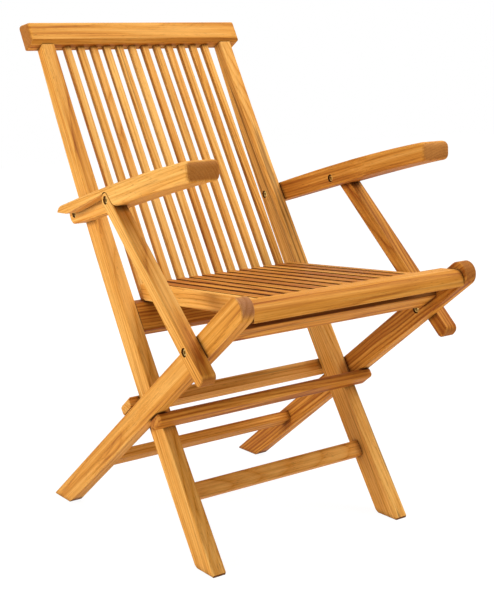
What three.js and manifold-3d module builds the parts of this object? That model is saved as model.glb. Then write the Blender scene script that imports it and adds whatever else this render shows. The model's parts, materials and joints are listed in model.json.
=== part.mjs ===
// Folding teak armchair: a slatted back frame on two long stiles, a pair of legs crossing it,
// a slatted seat hung between the leg tips, and two arms carried on struts.
// Millimetres, +Z up, the chair faces -Y and X runs across its width.
// Left and right are the sitter's, so left is +X.
// The origin is on the floor, under the middle of the chair's outer box.

import * as THREE from 'three';
import * as BufferGeometryUtils from 'three/addons/utils/BufferGeometryUtils.js';
import Module from 'manifold-3d';

const wasm = await Module();
wasm.setup();

// Fits shared by every joint
const fit_gap = 0.3;
const side_gap = 0.8;
const overrun = 5;
const edge_chamfer = 1.4;
const slat_chamfer = 0.8;

// Layers across the width, from the middle of the chair outwards
const clear_half_width = 179.5;
const stile_thickness = 25;
const leg_thickness = 23;
const strut_thickness = 25.5;

// Linkage seen from the side, with every distance taken from the crossing pivot
const crossing_height = 237;
const leg_slope = THREE.MathUtils.degToRad(35);
const stile_slope = THREE.MathUtils.degToRad(59.3);
const crossing_to_seat_pivot = 375.7;
const crossing_to_strut_pivot = 252;
const crossing_to_arm_pivot = 378;
const arm_pivot_spacing = 179.4;
const arm_pivot_slope = THREE.MathUtils.degToRad(11.161);

// Stiles, whose foot and top are placed from the line through the crossing and the arm pivot
const stile_height = 861.8;
const stile_foot_lead = 35.3;
const stile_foot_width = 57;
const stile_top_lead = 43.27;
const stile_top_width = 27.2;
const stile_front_bow = 13.7;
const stile_rear_bow = 19.2;
const foot_chamfer = 4;

// Crest rail
const crest_overhang = 20.9;
const crest_height = 42;
const crest_thickness = 33;
const crest_proud = 5;
const crest_under_rise = 1;
const crest_top_rise = 14.5;
const crest_under_chamfer = 7.5;
const crest_edge_chamfer = 2.2;
const crest_top_corner = 10.5;
const crest_end_round = 8;
const crest_low_corner = 5;

// Back slats
const back_slat_count = 12;
const back_slat_margin = 29.9;
const back_slat_width = 14;
const back_slat_thickness = 10;
const back_slat_recess = 10.5;
const slat_tenon = 12;

// Rails of the back frame, each placed by its height on the front edge of the stile
const low_rail_drop = 64.29;
const low_rail_width = 51;
const low_rail_thickness = 25;
const low_rail_recess = 0.5;
const front_stretcher_height = 124.8;
const front_stretcher_width = 28;
const front_stretcher_thickness = 20;
const front_stretcher_recess = 21;
const frame_rail_tenon = 14;
const tenon_shoulder = 5;

// Stop rails that the legs bear on
const front_stop_height = 17.5;
const front_stop_depth = 29.5;
const rear_stop_height = 20.5;
const rear_stop_depth = 34;
const stop_overhang = 20.5;
const stop_chamfer = 3.5;

// Legs and the rails between them
const leg_width = 40.5;
const tip_rail_setback = 104.7;
const tip_rail_width = 42;
const tip_rail_thickness = 20;
const tip_rail_lift = 5;
const foot_rail_start = 213;
const foot_rail_width = 36;
const foot_rail_thickness = 18;
const foot_rail_lift = 3;

// Seat, placed from the pivot in the leg tips
const seat_slope = THREE.MathUtils.degToRad(2.3);
const seat_top = 8.3;
const seat_thickness = 27.3;
const seat_front_overhang = 14.7;
const seat_front_rail_depth = 51;
const seat_front_round = 17;
const seat_back_gap = 1.9;
const seat_side_rail_thickness = 12;
const seat_side_rail_gap = 19;
const seat_side_recess = 3.9;
const seat_side_drop = 5.3;
const seat_side_drop_start = 78;
const seat_side_drop_full = 92;
const seat_rear_corner = 12;
const seat_rear_rail_depth = 28;
const seat_rail_tenon = 12;
const seat_rear_tenon = 9;
const seat_tenon_shoulder = 2.5;
const seat_slat_count = 11;
const seat_slat_gap = 8.4;
const seat_edge_gap = 5.7;
const seat_slat_thickness = 12.4;
const seat_slat_recess = 4.1;

// Arms, placed from the arm pivot
const arm_front_reach = 437;
const arm_front_low = 69.9;
const arm_front_height = 32.3;
const arm_front_round = 12.5;
const arm_top_control_reach = 258;
const arm_top_control_height = 79;
const arm_low_front_control_reach = 290;
const arm_low_front_control_height = 47;
const arm_low_rear_control_reach = 110;
const arm_low_rear_control_height = 5;
const arm_end_radius = 17.5;
const arm_end_top_angle = THREE.MathUtils.degToRad(75);
const arm_end_low_angle = THREE.MathUtils.degToRad(-100);
const arm_edge_round = 7.5;
const arm_edge_steps = 4;
const arm_grip_extra = 8.5;
const arm_grip_start = 205;
const arm_grip_full = 330;
const plate_fall = THREE.MathUtils.degToRad(15.9);
const plate_leave_angle = THREE.MathUtils.degToRad(47);
const plate_rear_height = 4.2;

// Struts
const strut_width = 25.5;
const strut_tail = 60;
const strut_tail_round = 10;

// Fasteners
const head_radius = 5.7;
const head_height = 4;
const head_recess = 1.6;
const head_gap = 1.5;
const neck_radius = 4.2;
const thread_radius = 2.8;
const thread_reach = 10;
const socket_radius = 2.7;
const socket_depth = 2.4;
const pin_radius = 5;
const pin_bite = 15;

const chamfer_steps = 1;
const arc_steps = 6;
const curve_steps = 14;
const round_steps = 20;
const hex_steps = 6;

const teak_colours = ['#b9793f', '#c2854a', '#ad6d36', '#c78b50', '#b4753c'];
const brass_colour = '#b8923f';

const stile_outer = clear_half_width + stile_thickness;
const leg_inner = stile_outer + side_gap;
const leg_outer = leg_inner + leg_thickness;
const strut_inner = leg_outer + side_gap;
const strut_outer = strut_inner + strut_thickness;
const stile_middle = clear_half_width + stile_thickness / 2;
const leg_middle = leg_inner + leg_thickness / 2;
const strut_middle = strut_inner + strut_thickness / 2;
const arm_inner = leg_inner - arm_grip_extra;
const arm_middle = (arm_inner + strut_outer) / 2;
const crest_half_length = stile_outer + crest_overhang;
const stop_half_length = stile_outer + stop_overhang;
const quarter_turn = Math.PI / 2;
const leg_angle = Math.PI - leg_slope;

const front_edge = {
  foot: -crossing_height / Math.tan(stile_slope) - stile_foot_lead,
  top: (stile_height - crossing_height) / Math.tan(stile_slope) - stile_top_lead,
  bow: stile_front_bow,
};
const rear_edge = {
  foot: front_edge.foot + stile_foot_width,
  top: front_edge.top + stile_top_width,
  bow: stile_rear_bow,
};

const crossing = new THREE.Vector2(0, 0);
const seat_pivot = polar(crossing_to_seat_pivot, leg_angle);
const strut_foot_pivot = polar(crossing_to_strut_pivot, leg_angle);
const arm_pivot = polar(crossing_to_arm_pivot, stile_slope);
const strut_head_pivot = polar(arm_pivot_spacing, Math.PI - arm_pivot_slope).add(arm_pivot);
const strut_run = strut_foot_pivot.clone().sub(strut_head_pivot);
const strut_pivot_spacing = strut_run.length();
const strut_angle = strut_run.angle();

// Turns the side view's x, y and z to y, z and x
const cycled_axes = new THREE.Matrix4().makeBasis(
  new THREE.Vector3(0, 1, 0),
  new THREE.Vector3(0, 0, 1),
  new THREE.Vector3(1, 0, 0),
);

let teak_turn = 0;

function polar(length, angle) {
  return new THREE.Vector2(length * Math.cos(angle), length * Math.sin(angle));
}

function to_solid(geometry) {
  const plain = geometry.clone();
  plain.deleteAttribute('normal');
  plain.deleteAttribute('uv');
  const merged = BufferGeometryUtils.mergeVertices(plain);
  const mesh = new wasm.Mesh({
    numProp: 3,
    vertProperties: Float32Array.from(merged.attributes.position.array),
    triVerts: Uint32Array.from(merged.index.array),
  });
  return new wasm.Manifold(mesh);
}

function to_geometry(solid) {
  const mesh = solid.getMesh();
  const geometry = new THREE.BufferGeometry();
  geometry.setAttribute('position', new THREE.BufferAttribute(Float32Array.from(mesh.vertProperties), 3));
  geometry.setIndex(new THREE.BufferAttribute(Uint32Array.from(mesh.triVerts), 1));
  const flat = geometry.toNonIndexed();
  flat.computeVertexNormals();
  return flat;
}

function teak_material() {
  teak_turn += 1;
  const colour = teak_colours[teak_turn % teak_colours.length];
  return new THREE.MeshStandardMaterial({ color: colour, roughness: 0.62, metalness: 0 });
}

function brass_material() {
  return new THREE.MeshStandardMaterial({ color: brass_colour, roughness: 0.35, metalness: 1 });
}

// A piece drawn in its own frame, which is then turned and moved in the side view
function piece(name, geometry, material, point, angle, across) {
  const mesh = new THREE.Mesh(geometry, material);
  mesh.name = name;
  mesh.position.set(point.x, point.y, across);
  mesh.rotation.z = angle;
  mesh.updateMatrix();
  return mesh;
}

function cutter(geometry, point, angle, across) {
  return piece('cutter', geometry, null, point, angle, across);
}

// Takes every cutter out of a piece, whatever frame each of them was drawn in
function carve(target, cutters) {
  const into_target = target.matrix.clone().invert();
  let solid = to_solid(target.geometry);
  for (const one of cutters) {
    const moved = one.geometry.clone().applyMatrix4(one.matrix).applyMatrix4(into_target);
    solid = solid.subtract(to_solid(moved));
  }
  target.geometry = to_geometry(solid);
  return target;
}

function extrude(shape, width, chamfer, steps = chamfer_steps) {
  const geometry = new THREE.ExtrudeGeometry(shape, {
    depth: width - 2 * chamfer,
    steps: 1,
    curveSegments: curve_steps,
    bevelEnabled: chamfer > 0,
    bevelThickness: chamfer,
    bevelSize: chamfer,
    bevelOffset: -chamfer,
    bevelSegments: steps,
  });
  geometry.translate(0, 0, chamfer - width / 2);
  return geometry;
}

function polygon(points) {
  return new THREE.Shape(points.map(([x, y]) => new THREE.Vector2(x, y)));
}

function box_shape(start, end, low, high, corner) {
  if (corner === 0) {
    return polygon([[start, low], [end, low], [end, high], [start, high]]);
  }
  return polygon([
    [start + corner, low],
    [end - corner, low],
    [end, low + corner],
    [end, high - corner],
    [end - corner, high],
    [start + corner, high],
    [start, high - corner],
    [start, low + corner],
  ]);
}

function inset_box(box, inset) {
  return {
    start: box.start + inset,
    end: box.end - inset,
    low: box.low + inset,
    high: box.high - inset,
  };
}

function box_bar(box, half_length, corner) {
  return extrude(box_shape(box.start, box.end, box.low, box.high, corner), 2 * half_length, 0);
}

// A rail across the chair, with a smaller stub tenon at each end
function tenoned_rail(shape, tenon_box, half_length, tenon) {
  const body = to_solid(extrude(shape, 2 * half_length, 0));
  const tongue = to_solid(box_bar(tenon_box, half_length + tenon, 0));
  return to_geometry(body.add(tongue));
}

function mortise_bar(tenon_box, half_length, tenon) {
  return box_bar(inset_box(tenon_box, -fit_gap), half_length + tenon + fit_gap, 0);
}

// A straight slat along its own x, with its section centred on that line
function slat_bar(width, thickness, length, corner) {
  const geometry = extrude(
    box_shape(-width / 2, width / 2, -thickness / 2, thickness / 2, corner),
    length,
    0,
  );
  geometry.rotateY(quarter_turn);
  geometry.translate(length / 2, 0, 0);
  return geometry;
}

function edge_at(edge, height) {
  const share = height / stile_height;
  return edge.foot + (edge.top - edge.foot) * share + 4 * edge.bow * share * (1 - share);
}

function edge_lean_at(edge, height) {
  const share = height / stile_height;
  return (edge.top - edge.foot + 4 * edge.bow * (1 - 2 * share)) / stile_height;
}

// The frame of a rail on the stile: its origin on the stile's front edge, its x up along that edge
function stile_frame(height) {
  return {
    point: new THREE.Vector2(edge_at(front_edge, height), height - crossing_height),
    angle: Math.atan2(1, edge_lean_at(front_edge, height)),
  };
}

function into_view(frame, along, forward) {
  return new THREE.Vector2(along, forward).rotateAround(crossing, frame.angle).add(frame.point);
}

// The stile's outline, grown at front and rear by the same amount
function stile_shape(grow) {
  const low = foot_chamfer;
  const half_run = (stile_height - low) / 2;
  const middle = low + half_run - crossing_height;
  const foot = -crossing_height;
  const rear_low = edge_at(rear_edge, low) + grow;
  const front_low = edge_at(front_edge, low) - grow;
  const rear_control = rear_low + edge_lean_at(rear_edge, low) * half_run;
  const front_control = front_low + edge_lean_at(front_edge, low) * half_run;
  const top = stile_height - crossing_height;
  const shape = new THREE.Shape();
  shape.moveTo(edge_at(front_edge, 0) + foot_chamfer, foot);
  shape.lineTo(edge_at(rear_edge, 0) - foot_chamfer, foot);
  shape.lineTo(rear_low, low + foot);
  shape.quadraticCurveTo(rear_control, middle, rear_edge.top + grow, top);
  shape.lineTo(front_edge.top - grow, top);
  shape.quadraticCurveTo(front_control, middle, front_low, low + foot);
  return shape;
}

const crest_frame = stile_frame(stile_height);
const low_rail_frame = stile_frame(crossing_height + seat_pivot.y - low_rail_drop);
const stretcher_frame = stile_frame(front_stretcher_height);

const low_rail_box = {
  start: -low_rail_width / 2,
  end: low_rail_width / 2,
  low: -low_rail_recess - low_rail_thickness,
  high: -low_rail_recess,
};
const stretcher_box = {
  start: -front_stretcher_width / 2,
  end: front_stretcher_width / 2,
  low: -front_stretcher_recess - front_stretcher_thickness,
  high: -front_stretcher_recess,
};
const frame_rail_half_length = clear_half_width - fit_gap;

// The crest's front stands a little proud of the stiles, and its top and underside lean nearer to level
function crest_geometry() {
  const front = crest_proud;
  const rear = crest_proud - crest_thickness;
  const side = polygon([
    [0, front - crest_under_chamfer],
    [crest_under_rise, rear + crest_edge_chamfer],
    [crest_under_rise + crest_edge_chamfer, rear],
    [crest_height + crest_top_rise - crest_edge_chamfer, rear],
    [crest_height + crest_top_rise, rear + crest_edge_chamfer],
    [crest_height, front - crest_edge_chamfer],
    [crest_height - crest_edge_chamfer, front],
    [crest_under_chamfer, front],
  ]);
  const top = crest_face(-crest_height, crest_height, crest_top_corner);
  const rise = crest_top_rise / crest_thickness;
  top.applyMatrix4(new THREE.Matrix4().set(
    1, -rise, 0, crest_proud * rise,
    0, 1, 0, 0,
    0, 0, 1, 0,
    0, 0, 0, 1,
  ));
  const low = crest_face(0, 2 * crest_height, crest_low_corner);
  const parts = [top, low, crest_plan()].map(to_solid);
  return to_geometry(parts.reduce(
    (solid, part) => solid.intersect(part),
    to_solid(extrude(side, 2 * crest_half_length, 0)),
  ));
}

// A board with the crest's outline seen from the front, through its thickness and a little more
function crest_face(low, high, corner) {
  const turn = crest_half_length - corner;
  const face = new THREE.Shape();
  face.absarc(high - corner, -turn, corner, -quarter_turn, 0, false);
  face.absarc(high - corner, turn, corner, 0, quarter_turn, false);
  face.absarc(low + corner, turn, corner, quarter_turn, Math.PI, false);
  face.absarc(low + corner, -turn, corner, Math.PI, 3 * quarter_turn, false);
  const board = new THREE.ExtrudeGeometry(face, {
    depth: crest_thickness + 2 * overrun,
    curveSegments: arc_steps,
    bevelEnabled: false,
  });
  board.rotateX(quarter_turn);
  board.translate(0, crest_proud + overrun, 0);
  return board;
}

// The crest seen from above, with the front corners of its ends rounded
function crest_plan() {
  const turn = crest_half_length - crest_end_round;
  const plan = new THREE.Shape();
  plan.moveTo(crest_proud - crest_thickness - overrun, crest_half_length);
  plan.lineTo(crest_proud - crest_thickness - overrun, -crest_half_length);
  plan.absarc(crest_proud - crest_end_round, -turn, crest_end_round, -quarter_turn, 0, false);
  plan.absarc(crest_proud - crest_end_round, turn, crest_end_round, 0, quarter_turn, false);
  const geometry = extrude(plan, 2 * (crest_height + crest_top_rise + overrun), 0);
  return geometry.applyMatrix4(cycled_axes);
}

// The low rail's top is planed level, so its rear face stands higher than its front face
function low_rail_shape() {
  const rise = low_rail_thickness / Math.tan(low_rail_frame.angle);
  return polygon([
    [low_rail_box.start + edge_chamfer, low_rail_box.low],
    [low_rail_box.end + rise, low_rail_box.low],
    [low_rail_box.end, low_rail_box.high],
    [low_rail_box.start + edge_chamfer, low_rail_box.high],
    [low_rail_box.start, low_rail_box.high - edge_chamfer],
    [low_rail_box.start, low_rail_box.low + edge_chamfer],
  ]);
}

const low_rail_top = into_view(low_rail_frame, low_rail_box.end, low_rail_box.high);
const back_slat_line = back_slat_recess + back_slat_thickness / 2;
const back_slat_foot = new THREE.Vector2(
  low_rail_top.x + (back_slat_line - low_rail_recess) / Math.sin(low_rail_frame.angle),
  low_rail_top.y,
);
const back_slat_head = into_view(crest_frame, 0, -back_slat_line);
const back_slat_run = back_slat_head.clone().sub(back_slat_foot);
const back_slat_angle = back_slat_run.angle();

function back_slat_places() {
  const first = back_slat_margin - clear_half_width;
  const pitch = -2 * first / (back_slat_count - 1);
  return Array.from({ length: back_slat_count }, (unused, index) => first + index * pitch);
}

function back_slat_geometry(grow, corner) {
  const reach = slat_tenon + grow;
  const geometry = slat_bar(
    back_slat_width + 2 * grow,
    back_slat_thickness + 2 * grow,
    back_slat_run.length() + 2 * reach,
    corner,
  );
  geometry.translate(-reach, 0, 0);
  return geometry;
}

function leg_shape() {
  const half = leg_width / 2;
  const foot_x = -crossing_height / Math.sin(leg_slope);
  const lean = half / Math.tan(leg_slope);
  const flat = foot_chamfer / Math.sin(leg_slope);
  const shape = new THREE.Shape();
  shape.moveTo(foot_x - lean + foot_chamfer, -half);
  shape.lineTo(crossing_to_seat_pivot, -half);
  shape.absarc(crossing_to_seat_pivot, 0, half, -quarter_turn, quarter_turn, false);
  shape.lineTo(foot_x + lean + flat, half);
  shape.lineTo(foot_x + lean - foot_chamfer * Math.cos(leg_slope), half - foot_chamfer * Math.sin(leg_slope));
  shape.lineTo(foot_x - lean + foot_chamfer * Math.cos(leg_slope), foot_chamfer * Math.sin(leg_slope) - half);
  return shape;
}

// Rails between the legs lie in the leg's frame, in which lower is +y
const tip_rail_box = {
  start: crossing_to_seat_pivot - tip_rail_setback,
  end: crossing_to_seat_pivot - tip_rail_setback + tip_rail_width,
  low: -tip_rail_lift - tip_rail_thickness / 2,
  high: tip_rail_thickness / 2 - tip_rail_lift,
};
const foot_rail_box = {
  start: -foot_rail_start - foot_rail_width,
  end: -foot_rail_start,
  low: -foot_rail_lift - foot_rail_thickness / 2,
  high: foot_rail_thickness / 2 - foot_rail_lift,
};
const leg_rail_half_length = leg_inner - fit_gap;

// The stop rails lie along the leg, one under its front half and one over its rear half
function front_stop_geometry() {
  const near = leg_width / 2 + fit_gap;
  const far = edge_at(front_edge, crossing_height);
  const shape = box_shape(0, front_stop_depth - far, near, near + front_stop_height, stop_chamfer);
  return extrude(shape, 2 * stop_half_length, stop_chamfer);
}

function rear_stop_geometry() {
  const near = -leg_width / 2 - fit_gap;
  const far = edge_at(rear_edge, crossing_height);
  const shape = box_shape(-rear_stop_depth - far, 0, near - rear_stop_height, near, stop_chamfer);
  return extrude(shape, 2 * stop_half_length, stop_chamfer);
}

// The seat reaches back to the fronts of the back slats, less the gap left at its lower corner
const seat_rear_lift = fit_gap + edge_chamfer;
const seat_rear_limit = back_slat_foot.clone().add(new THREE.Vector2(
  seat_rear_lift / Math.tan(back_slat_angle) - back_slat_thickness / 2 / Math.sin(back_slat_angle),
  seat_rear_lift,
));
const seat_rear_reach = seat_rear_limit.sub(seat_pivot).rotateAround(crossing, seat_slope).x - seat_back_gap;
const seat_under = seat_top - seat_thickness;
const seat_front = -seat_front_overhang;
const seat_front_rail_rear = seat_front + seat_front_rail_depth;
const seat_side_outer = clear_half_width - seat_side_rail_gap;
const seat_side_inner = seat_side_outer - seat_side_rail_thickness;
const seat_front_half_length = leg_inner - side_gap;
const seat_rear_rail_front = seat_rear_reach - seat_rear_rail_depth;
const seat_side_top = seat_top - seat_side_recess;
const seat_slat_field = 2 * (seat_side_inner - seat_edge_gap);
const seat_slat_pitch = (seat_slat_field + seat_slat_gap) / seat_slat_count;
const seat_slat_width = seat_slat_pitch - seat_slat_gap;
const seat_slat_line = seat_top - seat_slat_recess - seat_slat_thickness / 2;

function seat_front_rail_geometry() {
  const shape = new THREE.Shape();
  shape.moveTo(seat_front_rail_rear, seat_under);
  shape.lineTo(seat_front_rail_rear, seat_top);
  shape.absarc(
    seat_front + seat_front_round,
    seat_top - seat_front_round,
    seat_front_round,
    quarter_turn,
    Math.PI,
    false,
  );
  shape.lineTo(seat_front, seat_under + edge_chamfer);
  shape.lineTo(seat_front + edge_chamfer, seat_under);
  return extrude(shape, 2 * seat_front_half_length, 0);
}

function seat_side_tenon_box(grow) {
  return {
    start: seat_front_rail_rear - seat_rail_tenon - grow,
    end: seat_front_rail_rear + seat_rail_tenon,
    low: seat_under + tenon_shoulder - grow,
    high: seat_side_top - tenon_shoulder + grow,
  };
}

function seat_side_tenon(grow) {
  const half = seat_side_rail_thickness / 2 - seat_tenon_shoulder + grow;
  return box_bar(seat_side_tenon_box(grow), half, 0);
}

function seat_side_rail_geometry() {
  const start = seat_front_rail_rear + fit_gap;
  const turn = seat_rear_reach - seat_rear_corner;
  const low = seat_under - seat_side_drop;
  const shape = new THREE.Shape();
  shape.moveTo(start, seat_side_top);
  shape.lineTo(start, seat_under);
  shape.lineTo(seat_side_drop_start, seat_under);
  shape.lineTo(seat_side_drop_full, low);
  shape.absarc(turn, low + seat_rear_corner, seat_rear_corner, -quarter_turn, 0, false);
  shape.lineTo(seat_rear_reach, seat_side_top - edge_chamfer);
  shape.lineTo(seat_rear_reach - edge_chamfer, seat_side_top);
  const body = to_solid(extrude(shape, seat_side_rail_thickness, 0));
  return to_geometry(body.add(to_solid(seat_side_tenon(0))));
}

// Height in the seat's frame at which the seat lies on the low rail's level top
function seat_rest(along) {
  const drop = low_rail_top.y + fit_gap - seat_pivot.y;
  return (drop + along * Math.sin(seat_slope)) / Math.cos(seat_slope);
}

const seat_rear_rail_top = seat_slat_line - seat_slat_thickness / 2 - fit_gap;
const seat_rear_tenon_box = {
  start: seat_rear_rail_front + tenon_shoulder,
  end: seat_rear_reach - tenon_shoulder,
  low: seat_rest(seat_rear_rail_front) + seat_tenon_shoulder,
  high: seat_rear_rail_top - seat_tenon_shoulder,
};

// The slats lie over the rear rail
function seat_rear_rail_geometry() {
  const shape = polygon([
    [seat_rear_rail_front, seat_rest(seat_rear_rail_front)],
    [seat_rear_reach - edge_chamfer, seat_rest(seat_rear_reach - edge_chamfer)],
    [seat_rear_reach, seat_rest(seat_rear_reach) + edge_chamfer],
    [seat_rear_reach, seat_rear_rail_top],
    [seat_rear_rail_front, seat_rear_rail_top],
  ]);
  return tenoned_rail(shape, seat_rear_tenon_box, seat_side_inner - fit_gap, seat_rear_tenon);
}

function seat_slat_places() {
  const first = -seat_slat_pitch * (seat_slat_count - 1) / 2;
  return Array.from({ length: seat_slat_count }, (unused, index) => first + index * seat_slat_pitch);
}

function seat_slat_geometry(grow, corner) {
  const reach = slat_tenon + grow;
  const run = seat_rear_reach - seat_front_rail_rear;
  const geometry = slat_bar(
    seat_slat_width + 2 * grow,
    seat_slat_thickness + 2 * grow,
    run + reach,
    corner,
  );
  geometry.translate(seat_front_rail_rear - reach, seat_slat_line, 0);
  return geometry;
}

function arm_shape() {
  const shape = new THREE.Shape();
  const front = -arm_front_reach;
  const high = arm_front_low + arm_front_height;
  const end_low = polar(arm_end_radius, arm_end_low_angle);
  shape.moveTo(end_low.x, end_low.y);
  shape.absarc(0, 0, arm_end_radius, arm_end_low_angle, arm_end_top_angle, false);
  shape.quadraticCurveTo(-arm_top_control_reach, arm_top_control_height, front + arm_front_round, high);
  shape.quadraticCurveTo(front, high, front, high - arm_front_round);
  shape.lineTo(front, arm_front_low + arm_front_round);
  shape.quadraticCurveTo(front, arm_front_low, front + arm_front_round, arm_front_low);
  shape.bezierCurveTo(
    -arm_low_front_control_reach,
    arm_low_front_control_height,
    -arm_low_rear_control_reach,
    arm_low_rear_control_height,
    end_low.x,
    end_low.y,
  );
  return shape;
}

// The room for the strut in the outer half of the arm, under the plate that is left along its top
function strut_room_geometry() {
  const head = strut_head_pivot.clone().sub(arm_pivot);
  const radius = strut_width / 2 + side_gap;
  const shoulder_angle = strut_angle - quarter_turn;
  const shoulder = polar(radius, shoulder_angle).add(head);
  const shoulder_foot = polar(arm_pivot_spacing, strut_angle).add(shoulder);
  const leave = polar(radius, plate_leave_angle).add(head);
  const level_start = leave.x + (leave.y - plate_rear_height) / Math.tan(plate_fall);
  const beyond = arm_end_radius + overrun;
  const shape = new THREE.Shape();
  shape.moveTo(shoulder_foot.x, shoulder_foot.y);
  shape.lineTo(beyond, shoulder_foot.y);
  shape.lineTo(beyond, plate_rear_height);
  shape.lineTo(level_start, plate_rear_height);
  shape.absarc(head.x, head.y, radius, plate_leave_angle, shoulder_angle, false);
  return extrude(shape, strut_thickness + side_gap + overrun, 0);
}

// Behind the grip the inner side of the arm is cut back to the layer of the legs
function behind_grip_geometry(sign) {
  const beyond = arm_end_radius + overrun;
  const middle = -(arm_grip_start + arm_grip_full) / 2;
  const inner = -sign * arm_grip_extra;
  const clear = -sign * (arm_grip_extra + overrun);
  const plan = new THREE.Shape();
  plan.moveTo(beyond, 0);
  plan.lineTo(-arm_grip_start, 0);
  plan.bezierCurveTo(middle, 0, middle, inner, -arm_grip_full, inner);
  plan.lineTo(-arm_grip_full, clear);
  plan.lineTo(beyond, clear);
  const geometry = extrude(plan, 2 * (arm_front_low + arm_front_height + overrun), 0);
  return geometry.rotateX(quarter_turn);
}

function strut_shape() {
  const half = strut_width / 2;
  const end = strut_pivot_spacing + strut_tail;
  const turn = end - strut_tail_round;
  const side_turn = half - strut_tail_round;
  const shape = new THREE.Shape();
  shape.moveTo(0, -half);
  shape.absarc(turn, -side_turn, strut_tail_round, -quarter_turn, 0, false);
  shape.absarc(turn, side_turn, strut_tail_round, 0, quarter_turn, false);
  shape.absarc(0, 0, half, quarter_turn, 3 * quarter_turn, false);
  return shape;
}

function lathe(points) {
  return new THREE.LatheGeometry(points.map(([x, y]) => new THREE.Vector2(x, y)), round_steps);
}

function socket_cutter() {
  const geometry = new THREE.CylinderGeometry(socket_radius, socket_radius, 2 * socket_depth, hex_steps);
  geometry.translate(0, -head_recess, 0);
  return geometry;
}

function with_socket(geometry) {
  return to_geometry(to_solid(geometry).subtract(to_solid(socket_cutter())));
}

// Turns a turned piece so that its head looks out along the width
function face_out(geometry, outward) {
  geometry.rotateX(outward * quarter_turn);
  return geometry;
}

// A screw whose head is sunk in one member, with a thread that reaches into the next one
function screw_geometry(thickness, reach) {
  const under_head = -head_recess - head_height;
  const tip = -thickness - reach;
  const thread = reach > 0 ? [[thread_radius, tip], [thread_radius, -thickness]] : [];
  const start = reach > 0 ? tip : -thickness;
  return with_socket(lathe([
    [0, start],
    ...thread,
    [neck_radius, -thickness],
    [neck_radius, under_head],
    [head_radius, under_head],
    [head_radius, -head_recess],
    [0, -head_recess],
  ]));
}

// A sleeve nut whose head is sunk in the other member, bored for the thread where there is one
function nut_geometry(thickness, reach) {
  const under_head = -head_recess - head_height;
  const bore = thread_radius + fit_gap;
  const bottom = reach + fit_gap - side_gap - thickness;
  const mouth = reach > 0 ? [[0, bottom], [bore, bottom], [bore, -thickness]] : [[0, -thickness]];
  return with_socket(lathe([
    ...mouth,
    [neck_radius, -thickness],
    [neck_radius, under_head],
    [head_radius, under_head],
    [head_radius, -head_recess],
    [0, -head_recess],
  ]));
}

// The counterbored hole for a screw or a nut
function bolt_hole(thickness) {
  const seat = -head_recess - head_height - fit_gap;
  return lathe([
    [0, -thickness - overrun],
    [neck_radius + fit_gap, -thickness - overrun],
    [neck_radius + fit_gap, seat],
    [head_radius + head_gap, seat],
    [head_radius + head_gap, overrun],
    [0, overrun],
  ]);
}

function pin_geometry(length, grow) {
  const geometry = new THREE.CylinderGeometry(pin_radius + grow, pin_radius + grow, length + 2 * grow, round_steps);
  geometry.rotateX(quarter_turn);
  return geometry;
}

function hole_at(point, face, thickness, outward) {
  return cutter(face_out(bolt_hole(thickness), outward), point, 0, face);
}

function pin_hole_at(point, inner_face, sign) {
  const length = 2 * pin_bite + side_gap;
  return cutter(pin_geometry(length, fit_gap), point, 0, sign * (inner_face + side_gap / 2));
}

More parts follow.
